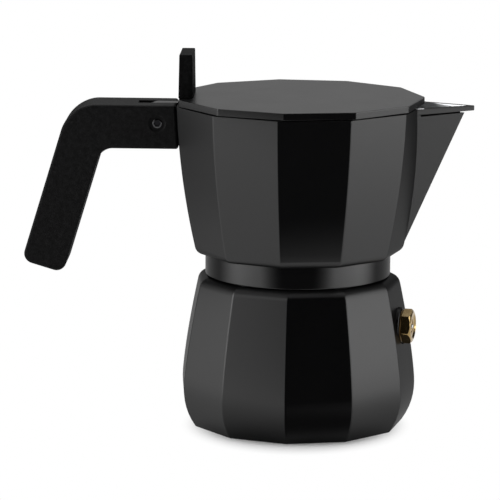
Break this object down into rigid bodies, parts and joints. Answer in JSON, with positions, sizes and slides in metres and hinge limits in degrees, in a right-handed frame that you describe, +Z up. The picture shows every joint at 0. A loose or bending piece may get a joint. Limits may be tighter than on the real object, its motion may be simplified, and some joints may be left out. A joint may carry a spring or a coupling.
{
  "type": "moka pot",
  "caption": "Stove-top moka pot with faceted boiler and collector, safety valve, funnel, filter plate, riser column, angled grip and hinged flat lid.",
  "frame": {"origin": "centre of the boiler's flat resting face, on the pot's axis", "axes": "+Z up along the pot's axis, +X towards the spout, -X towards the handle"},
  "size_m": [0.1784, 0.0992, 0.1492],
  "materials": {
    "black_enamel": "satin black coating on cast aluminium",
    "black_enamel_collector": "satin black coating on cast aluminium",
    "black_enamel_lid": "satin black coating on cast aluminium",
    "valve_brass": "polished",
    "valve_cap_brass": "polished",
    "washer_alloy": "turned",
    "spring_steel": "drawn wire",
    "pin_steel": "turned",
    "funnel_alloy": "spun, satin",
    "strainer_alloy": "punched, satin",
    "filter_alloy": "punched, satin",
    "gasket_rubber": "matte",
    "column_alloy": "turned, satin",
    "handle_plastic": "fine grained",
    "knob_plastic": "fine grained",
    "washer_plastic": "smooth",
    "handle_insert_brass": "turned",
    "knob_insert_brass": "turned",
    "hinge_steel": "blackened steel",
    "knob_screw_steel": "satin"
  },
  "bodies": {
    "boiler": {"boiler": "black_enamel", "valve_body": "valve_brass", "valve_washer": "washer_alloy", "valve_spring": "spring_steel", "valve_cap": "valve_cap_brass"},
    "valve_pin": {"valve_pin": "pin_steel"},
    "funnel": {"funnel": "funnel_alloy", "funnel_strainer": "strainer_alloy"},
    "seal": {"gasket": "gasket_rubber", "filter_plate": "filter_alloy"},
    "collector": {"collector": "black_enamel_collector", "riser_column": "column_alloy", "handle": "handle_plastic", "handle_insert": "handle_insert_brass", "hinge_screw": "hinge_steel", "hinge_washers": "washer_plastic"},
    "lid": {"lid": "black_enamel_lid", "knob": "knob_plastic", "knob_inserts": "knob_insert_brass", "knob_screws": "knob_screw_steel"}
  },
  "joints": [
    {"name": "collector_lift", "type": "slide", "parent": "boiler", "child": "seal", "axis": [0, 0, 1], "range_m": [0, 0.13]},
    {"name": "collector_turn", "type": "hinge", "parent": "seal", "child": "collector", "pos_m": [0, 0, 0.069], "axis": [0, 0, 1], "range_deg": [0, 540]},
    {"name": "funnel_lift", "type": "slide", "parent": "boiler", "child": "funnel", "axis": [0, 0, 1], "range_m": [0, 0.064]},
    {"name": "lid_hinge", "type": "hinge", "parent": "collector", "child": "lid", "pos_m": [-0.05592, 0, 0.12175], "axis": [0, -1, 0], "range_deg": [0, 90]},
    {"name": "valve_pop", "type": "slide", "parent": "boiler", "child": "valve_pin", "axis": [0.9768, -0.2141, 0], "range_m": [0, 0.0012], "stiffness_N_per_m": 600, "springref_m": -0.002, "deforming": ["valve_spring"]}
  ],
  "couplings": [
    {"joint": "funnel_lift", "follows": "collector_lift", "ratio": 0.48}
  ]
}
